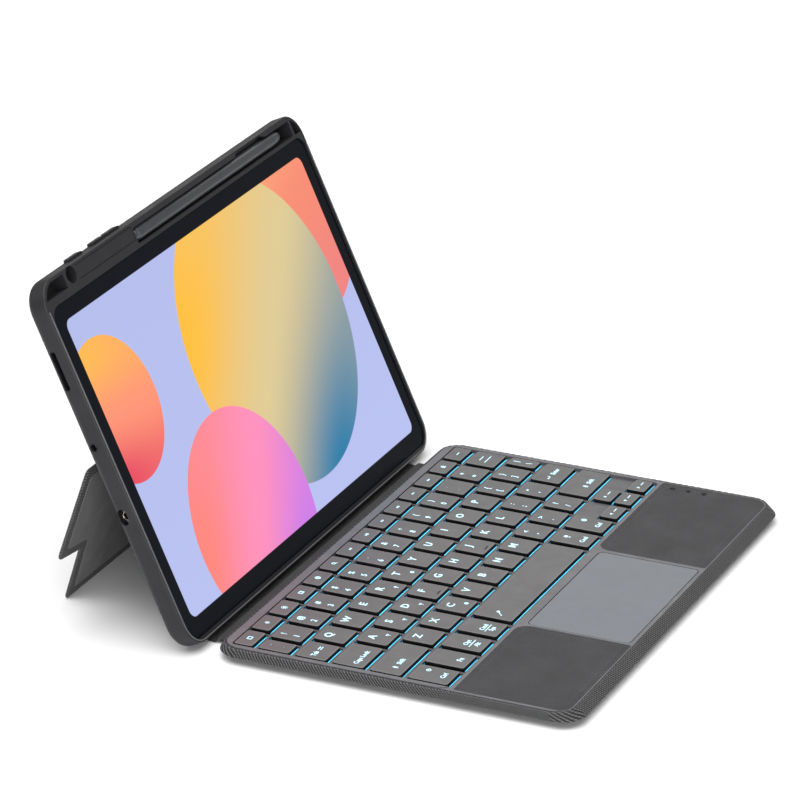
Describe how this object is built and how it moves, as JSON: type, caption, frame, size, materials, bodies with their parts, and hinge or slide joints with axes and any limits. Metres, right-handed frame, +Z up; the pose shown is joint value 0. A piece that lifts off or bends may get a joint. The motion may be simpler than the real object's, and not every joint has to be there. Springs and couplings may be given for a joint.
{
  "type": "tablet keyboard case",
  "caption": "Folding tablet keyboard case: fabric-covered keyboard base with lit keys and touchpad, soft spine, moulded tablet shell with pen holder, and a stepped kickstand.",
  "frame": {"origin": "middle of the open case's footprint, on the table", "axes": "+Z up, +X to the typist's right, +Y away from the typist"},
  "size_m": [0.2464, 0.2492, 0.1541],
  "materials": {
    "twill": "woven twill-look cover, dark grey",
    "case_plastic": "satin moulded plastic, warm mid grey",
    "palm_leather": "finely grained artificial leather, dark grey",
    "touchpad_film": "smooth satin touch surface, bluish grey",
    "sheet_metal": "pressed sheet",
    "led_lens": "clear lens",
    "light_guide": "lit light guide, cyan",
    "mechanism_plastic": "black moulded plastic",
    "silicone": "translucent silicone",
    "circuit_green": "printed circuit board",
    "battery_wrap": "foil pouch",
    "magnet_nickel": "nickel plated",
    "rubber": "moulded rubber",
    "screw_steel": "black zinc",
    "socket_metal": "stamped steel shell",
    "lining": "smooth artificial leather lining, grey",
    "shell_tpu": "soft matte moulded shell, dark grey",
    "tablet_metal": "anodised body, dark grey",
    "screen_glass": "cover glass over a lit screen, navy bezel",
    "camera_glass": "black lens and ring",
    "pen_plastic": "satin grey barrel",
    "key_plastic": "satin key caps, warm dark grey, lit legends"
  },
  "bodies": {
    "keyboard_base": {"base_cover": "twill", "top_case": "case_plastic", "key_frame": "case_plastic", "left_palm_rest": "palm_leather", "right_palm_rest": "palm_leather", "touchpad_bracket": "sheet_metal", "status_leds": "led_lens", "light_sheet": "light_guide", "key_plate": "sheet_metal", "scissor_supports": "mechanism_plastic", "rubber_domes": "silicone", "circuit_board": "circuit_green", "battery": "battery_wrap", "base_magnets": "magnet_nickel", "base_feet": "rubber", "case_screws": "screw_steel", "charging_socket": "socket_metal"},
    "touchpad_plate": {"touchpad": "touchpad_film"},
    "switch_knob": {"power_switch": "mechanism_plastic"},
    "function_keys_body": {"function_keys": "key_plastic"},
    "number_keys_body": {"number_keys": "key_plastic"},
    "backspace_key_body": {"backspace_key": "key_plastic"},
    "tab_key_body": {"tab_key": "key_plastic"},
    "top_letter_keys_body": {"top_letter_keys": "key_plastic"},
    "backslash_key_body": {"backslash_key": "key_plastic"},
    "caps_lock_key_body": {"caps_lock_key": "key_plastic"},
    "home_letter_keys_body": {"home_letter_keys": "key_plastic"},
    "enter_key_body": {"enter_key": "key_plastic"},
    "left_shift_key_body": {"left_shift_key": "key_plastic"},
    "bottom_letter_keys_body": {"bottom_letter_keys": "key_plastic"},
    "right_shift_key_body": {"right_shift_key": "key_plastic"},
    "control_key_body": {"control_key": "key_plastic"},
    "fn_key_body": {"fn_key": "key_plastic"},
    "option_key_body": {"option_key": "key_plastic"},
    "command_key_body": {"command_key": "key_plastic"},
    "space_key_body": {"space_key": "key_plastic"},
    "right_command_key_body": {"right_command_key": "key_plastic"},
    "right_control_key_body": {"right_control_key": "key_plastic"},
    "left_arrow_key_body": {"left_arrow_key": "key_plastic"},
    "up_arrow_key_body": {"up_arrow_key": "key_plastic"},
    "down_arrow_key_body": {"down_arrow_key": "key_plastic"},
    "right_arrow_key_body": {"right_arrow_key": "key_plastic"},
    "spine": {"spine_cover": "twill", "spine_stiffener": "lining"},
    "holder": {"tablet_shell": "shell_tpu", "back_panel": "twill", "spine_strap": "twill"},
    "kickstand": {"kickstand_panel": "twill", "kickstand_lining": "lining", "kickstand_strip": "twill"},
    "tablet": {"tablet_body": "tablet_metal", "screen_glass": "screen_glass", "rear_camera": "camera_glass"},
    "pen": {"pen_barrel": "pen_plastic", "pen_nose": "pen_plastic"},
    "power_button": {"power_button_cover": "shell_tpu"},
    "volume_up": {"volume_up_cover": "shell_tpu"},
    "volume_down": {"volume_down_cover": "shell_tpu"}
  },
  "joints": [
    {"name": "touchpad_click", "type": "slide", "parent": "keyboard_base", "child": "touchpad_plate", "axis": [0, 0, -1], "range_m": [0, 0.0003], "stiffness_N_per_m": 4000, "springref_m": -0.00015},
    {"name": "power_switch_slide", "type": "slide", "parent": "keyboard_base", "child": "switch_knob", "axis": [0, 1, 0], "range_m": [0, 0.002]},
    {"name": "function_keys_press", "type": "slide", "parent": "keyboard_base", "child": "function_keys_body", "axis": [0, 0, -1], "range_m": [0, 0.0012], "stiffness_N_per_m": 5600, "springref_m": -0.0003},
    {"name": "number_keys_press", "type": "slide", "parent": "keyboard_base", "child": "number_keys_body", "axis": [0, 0, -1], "range_m": [0, 0.0012], "stiffness_N_per_m": 5200, "springref_m": -0.0003},
    {"name": "backspace_key_press", "type": "slide", "parent": "keyboard_base", "child": "backspace_key_body", "axis": [0, 0, -1], "range_m": [0, 0.0012], "stiffness_N_per_m": 400, "springref_m": -0.0003},
    {"name": "tab_key_press", "type": "slide", "parent": "keyboard_base", "child": "tab_key_body", "axis": [0, 0, -1], "range_m": [0, 0.0012], "stiffness_N_per_m": 400, "springref_m": -0.0003},
    {"name": "top_letter_keys_press", "type": "slide", "parent": "keyboard_base", "child": "top_letter_keys_body", "axis": [0, 0, -1], "range_m": [0, 0.0012], "stiffness_N_per_m": 4800, "springref_m": -0.0003},
    {"name": "backslash_key_press", "type": "slide", "parent": "keyboard_base", "child": "backslash_key_body", "axis": [0, 0, -1], "range_m": [0, 0.0012], "stiffness_N_per_m": 400, "springref_m": -0.0003},
    {"name": "caps_lock_key_press", "type": "slide", "parent": "keyboard_base", "child": "caps_lock_key_body", "axis": [0, 0, -1], "range_m": [0, 0.0012], "stiffness_N_per_m": 400, "springref_m": -0.0003},
    {"name": "home_letter_keys_press", "type": "slide", "parent": "keyboard_base", "child": "home_letter_keys_body", "axis": [0, 0, -1], "range_m": [0, 0.0012], "stiffness_N_per_m": 4400, "springref_m": -0.0003},
    {"name": "enter_key_press", "type": "slide", "parent": "keyboard_base", "child": "enter_key_body", "axis": [0, 0, -1], "range_m": [0, 0.0012], "stiffness_N_per_m": 400, "springref_m": -0.0003},
    {"name": "left_shift_key_press", "type": "slide", "parent": "keyboard_base", "child": "left_shift_key_body", "axis": [0, 0, -1], "range_m": [0, 0.0012], "stiffness_N_per_m": 400, "springref_m": -0.0003},
    {"name": "bottom_letter_keys_press", "type": "slide", "parent": "keyboard_base", "child": "bottom_letter_keys_body", "axis": [0, 0, -1], "range_m": [0, 0.0012], "stiffness_N_per_m": 4000, "springref_m": -0.0003},
    {"name": "right_shift_key_press", "type": "slide", "parent": "keyboard_base", "child": "right_shift_key_body", "axis": [0, 0, -1], "range_m": [0, 0.0012], "stiffness_N_per_m": 400, "springref_m": -0.0003},
    {"name": "control_key_press", "type": "slide", "parent": "keyboard_base", "child": "control_key_body", "axis": [0, 0, -1], "range_m": [0, 0.0012], "stiffness_N_per_m": 400, "springref_m": -0.0003},
    {"name": "fn_key_press", "type": "slide", "parent": "keyboard_base", "child": "fn_key_body", "axis": [0, 0, -1], "range_m": [0, 0.0012], "stiffness_N_per_m": 400, "springref_m": -0.0003},
    {"name": "option_key_press", "type": "slide", "parent": "keyboard_base", "child": "option_key_body", "axis": [0, 0, -1], "range_m": [0, 0.0012], "stiffness_N_per_m": 400, "springref_m": -0.0003},
    {"name": "command_key_press", "type": "slide", "parent": "keyboard_base", "child": "command_key_body", "axis": [0, 0, -1], "range_m": [0, 0.0012], "stiffness_N_per_m": 400, "springref_m": -0.0003},
    {"name": "space_key_press", "type": "slide", "parent": "keyboard_base", "child": "space_key_body", "axis": [0, 0, -1], "range_m": [0, 0.0012], "stiffness_N_per_m": 400, "springref_m": -0.0003},
    {"name": "right_command_key_press", "type": "slide", "parent": "keyboard_base", "child": "right_command_key_body", "axis": [0, 0, -1], "range_m": [0, 0.0012], "stiffness_N_per_m": 400, "springref_m": -0.0003},
    {"name": "right_control_key_press", "type": "slide", "parent": "keyboard_base", "child": "right_control_key_body", "axis": [0, 0, -1], "range_m": [0, 0.0012], "stiffness_N_per_m": 400, "springref_m": -0.0003},
    {"name": "left_arrow_key_press", "type": "slide", "parent": "keyboard_base", "child": "left_arrow_key_body", "axis": [0, 0, -1], "range_m": [0, 0.0012], "stiffness_N_per_m": 400, "springref_m": -0.0003},
    {"name": "up_arrow_key_press", "type": "slide", "parent": "keyboard_base", "child": "up_arrow_key_body", "axis": [0, 0, -1], "range_m": [0, 0.0012], "stiffness_N_per_m": 400, "springref_m": -0.0003},
    {"name": "down_arrow_key_press", "type": "slide", "parent": "keyboard_base", "child": "down_arrow_key_body", "axis": [0, 0, -1], "range_m": [0, 0.0012], "stiffness_N_per_m": 400, "springref_m": -0.0003},
    {"name": "right_arrow_key_press", "type": "slide", "parent": "keyboard_base", "child": "right_arrow_key_body", "axis": [0, 0, -1], "range_m": [0, 0.0012], "stiffness_N_per_m": 400, "springref_m": -0.0003},
    {"name": "spine_hinge", "type": "hinge", "parent": "keyboard_base", "child": "spine", "pos_m": [0, 0.03914, 0.0022], "axis": [1, 0, 0], "range_deg": [0, 90]},
    {"name": "holder_hinge", "type": "hinge", "parent": "spine", "child": "holder", "pos_m": [0, 0.05209, 0.00143], "axis": [1, 0, 0], "range_deg": [-64.98, 25.02]},
    {"name": "kickstand_hinge", "type": "hinge", "parent": "holder", "child": "kickstand", "pos_m": [0, 0.09555, 0.08366], "axis": [1, 0, 0], "range_deg": [-43.4, 26]},
    {"name": "tablet_release", "type": "slide", "parent": "holder", "child": "tablet", "axis": [0, -0.9062, 0.4229], "range_m": [0, 0.03]},
    {"name": "pen_release", "type": "slide", "parent": "holder", "child": "pen", "axis": [0, -0.9062, 0.4229], "range_m": [0, 0.02]},
    {"name": "power_button_press", "type": "slide", "parent": "holder", "child": "power_button", "axis": [0, -0.4229, -0.9062], "range_m": [0, 0.0005], "stiffness_N_per_m": 1500, "springref_m": -0.0002},
    {"name": "volume_up_press", "type": "slide", "parent": "holder", "child": "volume_up", "axis": [0, -0.4229, -0.9062], "range_m": [0, 0.0005], "stiffness_N_per_m": 1500, "springref_m": -0.0002},
    {"name": "volume_down_press", "type": "slide", "parent": "holder", "child": "volume_down", "axis": [0, -0.4229, -0.9062], "range_m": [0, 0.0005], "stiffness_N_per_m": 1500, "springref_m": -0.0002}
  ]
}
